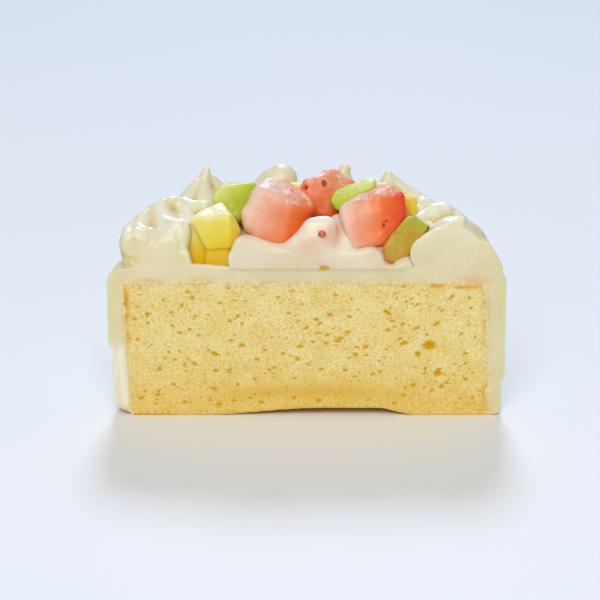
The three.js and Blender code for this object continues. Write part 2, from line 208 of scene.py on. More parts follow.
def extend_back(body):
    """Carries the edge of the cut face back round the cake, narrower at each step, until it closes."""
    low_edge = layer(body, "low_edge")
    pore_tint_and_shade = layer(body, "pore_tint_and_shade")
    ring = [edge for edge in body.edges if edge.is_boundary]
    before = 0
    for step in range(1, SIDE_STEPS + 1):
        turn = math.pi / 2 * step / SIDE_STEPS
        made = bmesh.ops.extrude_edge_only(body, edges=ring)["geom"]
        ring = [item for item in made if isinstance(item, bmesh.types.BMEdge) and item.is_boundary]
        narrower = math.cos(turn) / math.cos(before)
        for vert in (item for item in made if isinstance(item, bmesh.types.BMVert)):
            middle = lean(vert.co.z)
            vert.co.x = middle + (vert.co.x - middle) * narrower
            vert.co.y = SPONGE_RADIUS * math.sin(turn)
            if vert[low_edge] > 0.5:
                vert.co.z = arch_height(vert.co.x, vert.co.y)
            vert[pore_tint_and_shade] = 0
        before = turn
    bmesh.ops.remove_doubles(body, verts=body.verts, dist=0.01)
    bmesh.ops.recalc_face_normals(body, faces=body.faces)


def as_mesh(body, name):
    mesh = bpy.data.meshes.new(name)
    body.to_mesh(mesh)
    body.free()
    return mesh


def add_object(name, data):
    thing = bpy.data.objects.new(name, data)
    bpy.context.scene.collection.objects.link(thing)
    return thing


def put_in_place(body, name, material, slot, *nodes, crisp=180):
    """Makes the finished piece: in metres in the frame, riding on the one body, in place of its nodes.
    Edges that turn by more than the crisp angle, in degrees, are left sharp."""
    place = Matrix.Translation((0, CUT_DEPTH, 0)) @ Matrix.Scale(MM, 4)
    bmesh.ops.transform(body, matrix=place, verts=body.verts)
    mesh = as_mesh(body, name)
    mesh.shade_smooth()
    mesh.set_sharp_from_angle(angle=math.radians(crisp))
    mesh.materials.append(material)
    piece = add_object(name, mesh)
    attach(piece, "root")
    if nodes:
        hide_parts(*nodes)


def shade(code):
    """A colour as it is seen, such as e3cb84, in the linear values that a shader takes."""
    parts = [int(code[i : i + 2], 16) / 255 for i in (0, 2, 4)]
    return (*[part / 12.92 if part <= 0.04045 else ((part + 0.055) / 1.055) ** 2.4 for part in parts], 1)


def set_sockets(node, values):
    """Sets each named socket of a shader node, or links it where its value comes from another node."""
    for socket, value in values.items():
        if isinstance(value, bpy.types.NodeSocket):
            node.id_data.links.new(value, node.inputs[socket])
        else:
            node.inputs[socket].default_value = value


def add_node(tree, kind, values=None, **settings):
    node = tree.nodes.new(kind)
    for setting, value in settings.items():
        setattr(node, setting, value)
    set_sockets(node, values or {})
    return node


def blend_colours(tree, mask, low, high, way="MIX"):
    """One colour where the mask is 0 and the other where it is 1."""
    mix = add_node(tree, "ShaderNodeMix", {0: mask, 6: low, 7: high}, data_type="RGBA", blend_type=way)
    return mix.outputs[2]


def ranged(tree, value, low, high, to_low=0.0, to_high=1.0, way="LINEAR"):
    """A value moved from one range to another, and kept inside it."""
    ends = {"Value": value, "From Min": low, "From Max": high, "To Min": to_low, "To Max": to_high}
    return add_node(tree, "ShaderNodeMapRange", ends, interpolation_type=way).outputs[0]


def patches_group():
    """Soft patches in the surface: a mask from 0 to 1 that follows noise of a given scale."""
    tree = bpy.data.node_groups.new("soft_patches", "ShaderNodeTree")
    for socket in ("Scale", "Detail", "Low", "High", "Stretch"):
        tree.interface.new_socket(socket, in_out="INPUT", socket_type="NodeSocketFloat")
    tree.interface.new_socket("Mask", in_out="OUTPUT", socket_type="NodeSocketFloat")
    given = add_node(tree, "NodeGroupInput").outputs
    place = add_node(tree, "ShaderNodeTexCoord").outputs["Object"]
    sizes = add_node(tree, "ShaderNodeCombineXYZ", {0: 1.0, 1: 1.0, 2: given["Stretch"]}).outputs[0]
    moved = add_node(tree, "ShaderNodeVectorMath", {0: place, 1: sizes}, operation="MULTIPLY").outputs[0]
    look = {"Vector": moved, "Scale": given["Scale"], "Detail": given["Detail"]}
    cloud = add_node(tree, "ShaderNodeTexNoise", look).outputs["Fac"]
    mask = ranged(tree, cloud, given["Low"], given["High"], way="SMOOTHSTEP")
    add_node(tree, "NodeGroupOutput", {"Mask": mask})
    return tree


SOFT_PATCHES = patches_group()


def patch_mask(tree, scale, low=0.35, high=0.65, detail=2.0, stretch=1.0):
    values = {"Scale": scale, "Detail": detail, "Low": low, "High": high, "Stretch": stretch}
    return add_node(tree, "ShaderNodeGroup", values, node_tree=SOFT_PATCHES).outputs["Mask"]


def attribute(tree, name):
    return add_node(tree, "ShaderNodeAttribute", attribute_name=name).outputs["Fac"]


def calculated(tree, operation, first, second):
    return add_node(tree, "ShaderNodeMath", {0: first, 1: second}, operation=operation).outputs[0]


def grains(tree, scale, detail):
    place = add_node(tree, "ShaderNodeTexCoord").outputs["Object"]
    look = {"Vector": place, "Scale": scale, "Detail": detail}
    return add_node(tree, "ShaderNodeTexNoise", look).outputs["Fac"]


def tinted(tree, colour, code, mask, share=1.0):
    """A colour with another over it where the mask is, as strong there as its share says."""
    return blend_colours(tree, calculated(tree, "MULTIPLY", mask, share), colour, shade(code))


def ragged(tree, mask, scale):
    """A smooth mask broken up into grains: few of them where it is low, nearly all where it is high."""
    over = calculated(tree, "SUBTRACT", mask, grains(tree, scale, 3.0))
    return ranged(tree, over, -0.12, 0.14, way="SMOOTHSTEP")


def bumps(tree, height, strength, distance):
    """Fine relief, as high in metres as the distance says."""
    look = {"Strength": strength, "Distance": distance, "Height": height}
    return add_node(tree, "ShaderNodeBump", look).outputs["Normal"]


def new_material(name):
    material = bpy.data.materials.new(name)
    material.use_nodes = True
    return material, material.node_tree, material.node_tree.nodes["Principled BSDF"]


def crumb_material():
    material, tree, surface = new_material("sponge_crumb")
    colour = blend_colours(tree, patch_mask(tree, 160, 0.3, 0.7), shade("f6e4a4"), shade("f0da8c"))
    flecks = patch_mask(tree, 1100, 0.5, 0.74, 3, 1.3)
    fine = patch_mask(tree, 1700, 0.48, 0.66, 2, 1.2)
    pale = patch_mask(tree, 1300, 0.52, 0.7, 3, 1.3)
    clumps = patch_mask(tree, 130, 0.3, 0.62)
    for mask, share, code in ((flecks, clumps, "e6b41c"), (fine, 0.5, "e2b944"), (pale, 0.65, "fff6d6")):
        colour = tinted(tree, colour, code, mask, share)
    colour = blend_colours(tree, attribute(tree, "low"), colour, shade("fbf0cc"), "MULTIPLY")
    # The dense band, the cells' deeper yellow with painted shade under their upper edges, and the browned
    # crust.
    for name, code in (("band", "e6be50"), ("pore_tint_and_shade", "d8a600"), ("crust", "e4a026")):
        colour = tinted(tree, colour, code, attribute(tree, name))
    colour = tinted(tree, colour, "f0e4bd", ragged(tree, attribute(tree, "smear"), 500.0))
    set_sockets(surface, {
        "Base Color": colour,
        "Roughness": 0.9,
        "Specular IOR Level": 0.08,
        "Subsurface Weight": 0.15,
        "Subsurface Radius": (1.0, 0.7, 0.3),
        "Subsurface Scale": 0.001,
        "Normal": bumps(tree, grains(tree, 2200.0, 3.0), 0.5, 0.0003),
    })
    return material


def colour_sponge(body):
    """Masks for the dense band, the deeper yellow low down, the browned crust round the edges and the
    cream that the knife smeared over them."""
    low, band, crust, smear = [layer(body, name) for name in ("low", "band", "crust", "smear")]
    for vert in body.verts:
        x, y, z = vert.co
        side = SPONGE_RADIUS - math.hypot(x - lean(z), y)
        patchy = 0.5 + 0.9 * rough(x, y, z, 4)
        spots = smooth_step(0, 0.5, rough(x * 1.4, 3, z, 1.6))
        vert[low] = smooth_step(20, 2, z + 2 * rough(x, 0, z, 9))
        vert[band] = 0.75 * in_band(x, z) * smooth_step(1.5, 0.5, y)
        by_side = 0.5 * smooth_step(2.2, 0.3, side) * patchy * smooth_step(16, 26, z)
        by_left = 0.3 * smooth_step(-42, -53, x) * spots * smooth_step(12, 30, z)
        by_foot = smooth_step(0.9, 0.2, z - arch_height(x, y)) * (0.45 + 0.55 * smooth_step(-36, -46, x))
        by_corner = smooth_step(3, 0.3, z) * smooth_step(-34, -44, x) * spots
        vert[crust] = min(1, max(0, by_side, by_left, by_foot, by_corner, browned(x, z) * (0.35 + patchy)))
        inside = min(side, SPONGE_TOP - z)
        spread = 2.4 + 1.4 * rough(x, 4, z, 5)
        vert[smear] = 0.5 * smooth_step(spread, 0.2, inside) * (1 - 0.8 * browned(x, z))


sponge = bmesh.new()
bmesh.ops.create_grid(sponge, x_segments=FACE_COLUMNS, y_segments=FACE_ROWS, size=0.5)
shape_face(sponge)
extend_back(sponge)
colour_sponge(sponge)
put_in_place(sponge, "sponge_layer", crumb_material(), "crumb", "sponge", crisp=50)

# The cream coat. Soft whipped cream, spread over the sponge's top and side with a palette knife while
# the cake was whole. The knife dragged it thinner low down at both ends of what is now the cut. It is
# made whole a little past the cut, so that the cut can be made through the dollops with it.

COAT_RADIUS = 60
COAT_TOP = 46.5
SHOULDER = 5
FOOT = 2.2
INNER_RADIUS = 51.4  # inside of the coat, hidden in the sponge's edge
INNER_TOP = 39
COAT_SECTIONS = 150
COAT_STEPS = 110
PAST_CUT = math.radians(9)
DRAGS = ((math.pi, 22, 1.2), (0, 11, 0.8))  # where round the cake, up to what height, how deep
DRAG_SPREAD = 0.5
CORNER_HEIGHT = 5.4
CORNER_DEPTH = 6


def coat_section(along, through):
    """A point of the coat's section: along runs from the axis over the shoulder to the base."""
    flat = COAT_RADIUS - SHOULDER
    turn_length = SHOULDER * math.pi / 2
    side = COAT_TOP - SHOULDER - FOOT
    whole = flat + turn_length + side + FOOT * math.pi / 2
    run = along * whole
    if run < flat:
        outer = (run, COAT_TOP)
    elif run < flat + turn_length:
        turn = (run - flat) / SHOULDER
        outer = (flat + SHOULDER * math.sin(turn), COAT_TOP - SHOULDER + SHOULDER * math.cos(turn))
    elif run < flat + turn_length + side:
        outer = (COAT_RADIUS, COAT_TOP - SHOULDER - (run - flat - turn_length))
    else:
        turn = (run - flat - turn_length - side) / FOOT
        outer = (COAT_RADIUS - FOOT + FOOT * math.cos(turn), FOOT - FOOT * math.sin(turn))
    corner = (flat + turn_length / 2) / whole
    if along < corner:
        inner = (INNER_RADIUS * along / corner, INNER_TOP)
    else:
        inner = (INNER_RADIUS, INNER_TOP * (1 - (along - corner) / (1 - corner)))
    return [low + (high - low) * through for low, high in zip(inner, outer)]


def shape_coat(body):
    """The knife's broad waves round the side, its drags low down, and the sponge's lean inside."""
    skin = layer(body, "skin")
    for vert in body.verts:
        x, y, z = vert.co
        out = vert[skin]
        angle = math.atan2(y, x)
        from_ends = min(abs(angle), math.pi - abs(angle))
        waves = math.sin(4 * angle + 0.05 * z) + 0.5 * math.sin(11 * angle + 0.11 * z)
        move = 0.45 * (waves - 1.5) * smooth_step(0, DRAG_SPREAD, from_ends)
        for side, height, depth in DRAGS:
            near = smooth_step(DRAG_SPREAD, 0, abs(abs(angle) - side))
            move -= depth * near * smooth_step(height + 0.5, height - 0.5, z + 0.6 * rough(x, y, 0, 6))
        at_left = smooth_step(DRAG_SPREAD, 0, math.pi - abs(angle))
        move -= CORNER_DEPTH * at_left * max(0, 1 - z / CORNER_HEIGHT) ** 2
        move += 0.2 * rough(x, y, z * 2, 12) - 0.1
        reach = math.hypot(x, y)
        scale = 1 + out * move / COAT_RADIUS * smooth_step(0.7, 1, reach / COAT_RADIUS)
        vert.co.x = x * scale + (1 - out) * lean(z)
        vert.co.y = y * scale
        if z > SPONGE_TOP:
            vert.co.z += out * (0.3 * rough(x, y, 0, 10) - 0.15) * smooth_step(1, 0.8, reach / COAT_RADIUS)


cream = bmesh.new()
bmesh.ops.create_grid(cream, x_segments=COAT_SECTIONS, y_segments=4, size=0.5)
skin = layer(cream, "skin")
for vert in cream.verts:
    vert[skin] = vert.co.y + 0.5
    reach, height = coat_section(vert.co.x + 0.5, vert.co.y + 0.5)
    vert.co = Vector((reach, 0, height))
bmesh.ops.rotate(cream, verts=cream.verts, cent=(0, 0, 0), matrix=Matrix.Rotation(-PAST_CUT, 3, "Z"))
bmesh.ops.spin(cream, geom=cream.faces[:], cent=(0, 0, 0), axis=(0, 0, 1), dvec=(0, 0, 0),
               angle=math.pi + 2 * PAST_CUT, steps=COAT_STEPS, use_merge=False, use_duplicate=False)
bmesh.ops.remove_doubles(cream, verts=cream.verts, dist=0.001)
bmesh.ops.recalc_face_normals(cream, faces=cream.faces)
shape_coat(cream)

# The dollops. Ten lumps of the same cream, piped side by side on the rim and pulled off into tips that
# lean, with soft ridges up their sides. They run into one another and into the coat, and the knife
# cut through all of it at once, which left the first and the last flush with the coat.

SINK = 2.6  # how deep the feet reach into the coat

# Each dollop's strokes of cream: the balls (x, y, z, radius) that a stroke runs through.
DOLLOPS = {
    "dollop_1": (
        ((36.2, 0.5, 50.8, 5.5), (40.6, 0.5, 53, 6.2), (43.5, 0.5, 53.6, 6.5)),
        ((43, 0.8, 57.2, 3.4), (44.8, 0.6, 59.6, 2.1), (46.3, 0.5, 61.4, 1.2)),
        ((46.5, 0.5, 51.4, 6.6), (50, 0.5, 49.4, 6.6), (51.8, 0.5, 47.4, 6), (53.6, 0.8, 45.6, 5.3)),
        ((40, 5.5, 48.5, 8.4), (48, 5.5, 48, 8)),
    ),
    "dollop_2": (
        ((44.5, 11, 51.5, 8.2), (46, 12, 49, 9.4)),
        ((50.5, 9, 49.6, 5.4), (48.3, 10, 54.6, 3.6), (46.2, 10.5, 56.8, 2.6)),
        ((42, 14, 52.4, 5), (44, 12.5, 56, 3.2)),
    ),
    "dollop_3": (
        ((40, 20, 50, 9.8), (41, 20, 53, 7)),
        ((32.5, 13, 56.9, 2.1), (36, 16.5, 57.3, 2.9), (39, 18.5, 57.7, 3.9), (41.6, 19.5, 57.6, 4.2)),
        ((47.5, 19, 51, 5), (45.5, 19.5, 55.5, 3.6), (43, 20, 58.5, 2.6)),
        ((34.6, 12, 56.2, 0.9), (36.8, 11.6, 57.4, 0.9), (38.1, 11, 56.2, 0.8), (37, 10.4, 54.4, 0.7)),
    ),
    "dollop_4": (
        ((34, 29, 50, 9.6), (35, 28.5, 53, 6.6)),
        ((40, 29, 51.5, 5), (38, 29, 56, 3.6), (36, 29, 58.6, 2.3)),
        ((30, 24.5, 52, 4.6), (32, 26.5, 56.5, 3)),
    ),
    "dollop_5": (
        ((26, 36, 51.5, 10.5), (25.5, 35.5, 57, 6)),
        ((25, 35, 58.5, 5), (25.2, 35.6, 63, 2.9), (25.5, 36, 66.4, 1.3)),
        ((26, 36, 65.3, 1.6), (30, 35.2, 61.7, 2.3), (35, 32.5, 58.3, 2.9), (39.5, 28.5, 56, 3.2)),
        ((24.3, 33, 63, 1.7), (27.5, 31, 58.6, 2.6), (31.5, 28.5, 55, 3.6)),
        ((20, 35, 53, 5), (22.5, 35.5, 59, 3), (24.6, 36, 63.5, 1.8)),
    ),
    "dollop_6": (
        ((10, 43.5, 51.5, 10.4), (10.2, 43.2, 56, 7)),
        ((10.5, 43, 59, 5), (11.3, 43.7, 63.6, 2.8), (12, 44, 66, 1.7), (12.8, 44, 66.2, 1.2)),
        ((4.5, 41.5, 53, 5), (7.5, 42.5, 59, 3.2), (10, 43.5, 63, 2)),
        ((15.5, 42, 53, 5), (13.6, 43, 59, 3.2), (12.2, 43.8, 63, 2)),
    ),
    "dollop_7": (
        ((-9.5, 43, 51.5, 11), (-9.8, 43.2, 56.5, 8.2)),
        ((-11.8, 42.7, 56.8, 7.2), (-9.9, 43.3, 60.7, 5.9), (-7.7, 43.4, 62.8, 5)),
        ((-3.5, 40.8, 54, 4.6), (-4.8, 41.6, 59.5, 3.2), (-6.4, 42.6, 63.2, 2.2)),
        ((-15.5, 40.5, 54, 4.8), (-13.6, 41.2, 59, 3.4)),
    ),
    "dollop_8": (
        ((-31, 34, 51, 10.4), (-28, 36.5, 51, 9.6), (-31, 33.8, 56, 7)),
        ((-32.8, 32.3, 58, 5), (-32.3, 33.2, 62, 3.4), (-31.5, 34, 65.6, 2.1), (-30.9, 34.6, 68.2, 1.2)),
        ((-38.5, 27, 54.5, 4.6), (-36.4, 29, 59.8, 3.1), (-33.6, 32, 64.2, 1.9)),
        ((-23, 35.5, 54, 5), (-26.2, 35.6, 60, 3), (-29.3, 35, 64.6, 1.7)),
        ((-30.5, 26.5, 53, 5.6), (-31.4, 29.4, 58.5, 4), (-31.8, 32, 63, 2.3)),
        ((-37.8, 25, 59.4, 2.6), (-34.6, 22.6, 58.8, 2.8), (-31.4, 21.5, 59.2, 2.6)),
    ),
    "dollop_9": (
        ((-44.5, 15.5, 50.6, 9.8), (-40, 19, 51.4, 9.3)),
        ((-47.4, 12, 54, 5.6), (-40.3, 13.5, 55, 5.6)),
        ((-52.6, 8, 55.4, 3.4), (-50.6, 10, 56.6, 3.2), (-48.9, 12, 58.2, 2.9), (-45.6, 15, 60.4, 2.5),
         (-43.5, 16, 61.6, 2.4), (-41, 17, 62.6, 2.2), (-38.5, 18.3, 62.2, 1.9)),
        ((-43.5, 16, 61.1, 2.6), (-44, 12.2, 58.2, 3.3), (-42.8, 9, 55.4, 3.9), (-42, 6.8, 53.2, 4.1)),
        ((-38.5, 18.3, 61.6, 2.1), (-36.9, 15.5, 58.4, 3.1), (-35.6, 12.5, 56.2, 3.3)),
        ((-50, 9, 51, 6), (-44, 10, 49, 7)),
    ),
    "dollop_10": (
        ((-51.6, 4.2, 53, 5.2), (-50.5, 5, 50, 5.4)),
        ((-47, 3, 49, 6.4), (-41.4, 2.4, 47.8, 7)),
        ((-46.5, 5.5, 52, 5.4), (-47, 8, 51, 6)),
        ((-40.4, 4.8, 53, 5.2), (-39.2, 7.2, 55.4, 4.7)),
        ((-36, 1, 45, 2.6), (-29, 1, 44.9, 2.6), (-22, 1, 44.4, 2.4)),
    ),
}

# Soft folds by where they are seen: how deep, how wide, how warm the light is in them, and the line
# across and up that they follow. The ones with a depth below 0 are ridges.
FOLDS = (
    (0.5, 1.3, 0.06, ((-52.6, 58.5), (-52.3, 54), (-51.6, 50))),
    (0.55, 1.7, 0.12, ((-46, 58), (-46.2, 54), (-46.8, 49))),
    (0.3, 1.2, 0.06, ((-38.2, 58), (-37.6, 53), (-37.2, 49))),
    (0.3, 1.2, 0.3, ((-46.4, 65), (-46, 60))),
    (0.3, 1.1, 0.3, ((-41, 67), (-38, 62))),
    (0.45, 0.9, 0.6, ((-56, 50.8), (-51.5, 48.6))),
    (-0.3, 0.6, 0, ((-50, 59.6), (-47.5, 58.5), (-44.6, 58.7))),
    (-0.2, 0.5, 0, ((-49, 57.7), (-46, 57.2))),
    (-0.35, 0.7, 0, ((-42.3, 61.6), (-40, 60.9), (-37, 60.6), (-35.5, 60))),
    (-0.25, 0.5, 0, ((-39.4, 63.4), (-37, 62))),
    (0.4, 1, 0.12, ((-51.6, 63.2), (-51.2, 61.4), (-52, 59.6))),
    (0.6, 1.3, 0.42, ((48.2, 60.4), (50.4, 58.4), (53, 56))),
    (0.25, 0.9, 0, ((27.6, 72.6), (31, 69.4), (35.2, 66.8))),
    (0.3, 1, 0.1, ((40.2, 63), (42.4, 62.4), (43.6, 62.8))),
)
SLOPE = 0.306  # what lies deeper is seen this much higher for its depth
FURTHER = 0.00128  # and this much smaller
CREAM_LUMPS = ((0.14, 5, 1), (0.06, 2.2, 2), (0.03, 0.8, 2))  # how high, how broad, how rough

LAST_SUNK = 1.8  # how far the last dollop drew back from the cut before it set

# Where it drooped: left of what, above what, in front of what, and in how many rounds of smoothing.
DROOPED = ((-38.5, 49, 8, 35), (-35.5, 46.5, 8, 12), (-36, 51, 20, 25))

FINE_EDGE = 0.55  # the longest edge on the cream's cut face beside the sponge
COARSE_EDGE = 1.6  # and further away


def add_strokes(body, strokes):
    """Balls along each stroke, close enough to one another to be one smooth rope once fused."""
    for stroke in strokes:
        balls = [stroke[0]]
        for start, end in zip(stroke, stroke[1:]):
            length = (Vector(end[:3]) - Vector(start[:3])).length
            count = max(1, round(length / (0.35 * min(start[3], end[3]) + 0.3)))
            for i in range(1, count + 1):
                balls.append([low + (high - low) * i / count for low, high in zip(start, end)])
        for x, y, z, radius in balls:
            place = Matrix.Translation((x, y, z))
            bmesh.ops.create_icosphere(body, subdivisions=3, radius=radius, matrix=place)


def cut_away(body, point, way):
    """Slices off what lies beyond a plane, and closes the cut."""
    parts = body.verts[:] + body.edges[:] + body.faces[:]
    cut = bmesh.ops.bisect_plane(body, geom=parts, dist=0.0001, plane_co=point, plane_no=way,
                                 clear_outer=True)["geom_cut"]
    edges = [item for item in cut if isinstance(item, bmesh.types.BMEdge)]
    bmesh.ops.holes_fill(body, edges=edges, sides=0)


def fused(body, voxel, rounds, kept=1.0):
    """The overlapping lumps of a mesh as one soft skin, with the given share of its triangles kept."""
    mesh = as_mesh(body, "lumps")
    lumps = add_object("lumps", mesh)
    remesh = lumps.modifiers.new("one_skin", "REMESH")
    remesh.mode = "VOXEL"
    remesh.voxel_size = voxel
    lumps.modifiers.new("soften", "SMOOTH").iterations = rounds
    if kept < 1:
        lumps.modifiers.new("thin_out", "DECIMATE").ratio = kept
    graph = bpy.context.evaluated_depsgraph_get()
    whole = bmesh.new()
    whole.from_mesh(lumps.evaluated_get(graph).to_mesh())
    bpy.data.objects.remove(lumps)
    bpy.data.meshes.remove(mesh)
    return whole


def soften(body, verts, rounds):
    for _ in range(rounds):
        bmesh.ops.smooth_vert(body, verts=verts, factor=0.5,
                              use_axis_x=True, use_axis_y=True, use_axis_z=True)


def from_sponge(x, z):
    """How far a spot at the cut is from the sponge; below 0 over it."""
    beside = abs(x - lean(z)) - SPONGE_RADIUS
    above = z - SPONGE_TOP
    return max(beside, above) if min(beside, above) < 0 else math.hypot(beside, above)


def refine_cut(body):
    """Splits the long edges of the flat cut face, down to the finest beside the sponge."""
    for _ in range(4):
        long = []
        for edge in body.edges:
            middle = (edge.verts[0].co + edge.verts[1].co) / 2
            if middle.y < 0.3:
                off = from_sponge(middle.x, middle.z)
                if off > -3 and edge.calc_length() > (FINE_EDGE if off < 2.2 else COARSE_EDGE):
                    long.append(edge)
        bmesh.ops.subdivide_edges(body, edges=long, cuts=1)
        bmesh.ops.triangulate(body, faces=[face for face in body.faces if len(face.verts) > 3])


def knife_relief(x, z):
    """What the knife left on the cut cream: long shallow drag marks and a few dimples."""
    return 0.09 * rough(x * 0.4, 4, z, 1.6) + 0.05 * rough(x, 4, z, 1.1, 2)


def press_folds(body):
    """Presses the soft folds into the cream where they are seen from in front, and lifts the ridges.
    The mask of hollows gets how warm the light is in each."""
    hollow = layer(body, "hollow")
    body.normal_update()
    moves = []
    for vert in body.verts:
        x, y, z = vert.co
        if SLOPE * vert.normal.z < vert.normal.y:
            continue
        nearer = 1 - FURTHER * y
        seen = Vector((x * nearer, (z + SLOPE * y) * nearer))
        move = warmth = 0
        for depth, width, warm, line in FOLDS:
            spots = [Vector(spot) for spot in line]
            off = width * 4
            for start, end in zip(spots, spots[1:]):
                along = (seen - start).dot(end - start) / (end - start).length_squared
                gap = (seen - start - (end - start) * min(1, max(0, along))).length
                off = min(off, gap)
            move += depth * math.exp(-((off / width) ** 2))
            warmth += warm * math.exp(-((off / width / 1.3) ** 2))
        vert[hollow] = min(0.75, warmth)
        if abs(move) > 0.01:
            moves.append((vert, vert.normal * move))
    for vert, move in moves:
        vert.co -= move


def cream_skin(body):
    """A soft cream surface: slight unevenness, the knife's marks where it was cut, and masks for
    the hollows, where light gathers warmer, and for a painted whiter sheen on what faces up."""
    hollow, painted_sheen = layer(body, "hollow"), layer(body, "painted_sheen")
    body.normal_update()
    even = body.copy()
    soften(even, even.verts, 50)
    even.verts.ensure_lookup_table()
    for vert in body.verts:
        x, y, z = vert.co
        sunk = vert.normal.dot(even.verts[vert.index].co - vert.co)
        vert[hollow] = max(vert[hollow], 0.8 * smooth_step(0.03, 0.6, sunk))
        move = sum(height * rough(x, y, z, size, octaves) for height, size, octaves in CREAM_LUMPS)
        at_cut = smooth_step(-0.6, -0.9, vert.normal.y) * smooth_step(1, 0.4, y)
        # Painted sheen: a whiter colour where the cream faces up, and a little on what is set back from the
        # cut.
        sheen = 1 + 0.35 * rough(x, y, z * 2.5, 5, 2)
        sheen *= max(smooth_step(0, 0.8, vert.normal.z), 0.3 * smooth_step(2, 9, y))
        pressed = 0.75 * smooth_step(14, 6, y) * smooth_step(58, 50, z)
        sheen *= (1 - at_cut) * (1 - vert[hollow]) * (1 - pressed)
        vert[painted_sheen] = min(1, max(0, sheen * (1 - 0.4 * smooth_step(16, 32, y))))
        vert.co += vert.normal * move * (1 - at_cut) * smooth_step(0, 1.5, y)
        vert.co.y += at_cut * knife_relief(x, z)
    even.free()


def meet_sponge(body):
    """Leads the coat's cut face under the sponge's at an uneven line, and marks where crumbs and browned
    crust colour it beside the sponge, where painted sheen whitens it in the knife's streaks low at the left
    and high up, and where its outer edge low down is tinted a greener yellow."""
    stain, painted_sheen, edge_tint_and_shade, crumbs = [layer(body, name) for name in ("stain", "painted_sheen", "edge_tint_and_shade", "crumbs")]
    for vert in body.verts:
        x, y, z = vert.co
        off = from_sponge(x, z)
        at_cut = smooth_step(1.5, 0.5, y)
        uneven = off + 0.5 * rough(x, 11, z, 2.2) + 0.25 * rough(x, 11, z, 0.9)
        vert.co.y += 0.28 * at_cut * smooth_step(0.2, -2.2, uneven)
        vert[crumbs] = at_cut * smooth_step(1.9 + rough(x, 8, z, 6), -1.1, off)
        low_left = smooth_step(-50, -53, x) * smooth_step(25, 20, z)
        patchy = max(0, 0.5 + 0.9 * rough(x, 2, z, 5))
        spread = 0.5 * math.exp(-max(0, off) / 1.6) * patchy * (1 - 0.8 * low_left)
        right = 0.08 * smooth_step(44, 56, x) * smooth_step(57, 50, z)
        foot = smooth_step(4, 0.5, z) * smooth_step(-59, -54, x) * smooth_step(-40, -50, x)
        vert[stain] = at_cut * min(1, max(spread, right, foot, 0.9 * browned(x, z)))
        streaks = max(0, 0.75 + 0.7 * rough(x * 5, 6, z * 0.5, 6))
        # Painted sheen on the cut: whiter in the knife's streaks low at the left, and high up.
        vert[painted_sheen] += at_cut * max(low_left * smooth_step(1, 5, z) * streaks, 0.45 * smooth_step(50, 60, z))
        # A greener yellow tint along the outer edge of the coat's cut, low down.
        outer = smooth_step(COAT_RADIUS - 4.5, COAT_RADIUS - 1, abs(x))
        vert[edge_tint_and_shade] = at_cut * outer * smooth_step(52, 42, z) * (1 - low_left)


def cream_material(name, base, deep, stained, warm_hollow_shade):
    """Whipped cream: a satin, slightly translucent ivory, with painted warm shade in its hollows and a
    painted sheen on top.
    """
    material, tree, surface = new_material(name)
    colour = blend_colours(tree, patch_mask(tree, 90, 0.35, 0.7), shade(base), shade(deep))
    colour = tinted(tree, colour, "fbf6e4", patch_mask(tree, 330, 0.46, 0.76), 0.14)
    # Over it: the edge tint and shade, a painted whiter sheen, painted warm shade in the hollows, and
    # stains.
    for mask, share, code in (
        ("edge_tint_and_shade", 0.6, "e2dfa6"), ("painted_sheen", 0.85, "f9f7e6"), ("hollow", 1, warm_hollow_shade), ("stain", 1, stained),
    ):
        colour = tinted(tree, colour, code, attribute(tree, mask), share)
    crumbs = blend_colours(tree, patch_mask(tree, 700, 0.45, 0.6), shade("f2e2a8"), shade("ecce7c"))
    colour = blend_colours(tree, ragged(tree, attribute(tree, "crumbs"), 700.0), colour, crumbs)
    set_sockets(surface, {
        "Base Color": colour,
        "Roughness": ranged(tree, patch_mask(tree, 260, 0.3, 0.7), 0, 1, 0.36, 0.52),
        "IOR": 1.45,
        "Subsurface Weight": 0.6,
        "Subsurface Radius": (1.0, 0.85, 0.65),
        "Subsurface Scale": 0.0014,
        "Coat Weight": 0.5,
        "Coat Roughness": 0.38,
        "Normal": bumps(tree, grains(tree, 420.0, 4.0), 0.5, 0.0006),
    })
    return material


for strokes in DOLLOPS.values():
    mound = bmesh.new()
    add_strokes(mound, strokes)
    cut_away(mound, (0, 0, COAT_TOP - SINK), (0, 0, -1))
    mound_mesh = as_mesh(mound, "mound")
    cream.from_mesh(mound_mesh)
    bpy.data.meshes.remove(mound_mesh)
cut_away(cream, (0, 0, 0), (0, -1, 0))
cream = fused(cream, voxel=0.45, rounds=4, kept=0.42)
for vert in cream.verts:
    at_left = smooth_step(-33, -38, vert.co.x) * smooth_step(46.5, 57, vert.co.z)
    vert.co.y += LAST_SUNK * at_left * smooth_step(7, 0, vert.co.y)
for right_end, foot, back, rounds in DROOPED:
    verts = [vert for vert in cream.verts
             if vert.co.x < right_end and vert.co.z > foot and vert.co.y < back]
    soften(cream, verts, rounds)
refine_cut(cream)
press_folds(cream)
cream_skin(cream)
meet_sponge(cream)
whipped = cream_material("whipped_cream", "eae1bb", "e3daac", "eec08a", "e9c976")
put_in_place(cream, "coat_and_dollops_of_cream", whipped, "cream", "cream_coat", *DOLLOPS)

# The bed. Softer cream spooned inside the ring of dollops, with a small pulled peak at its front. The
# dice are pressed into it, and the strawberries have stained it pink. It is cut as the rest is.

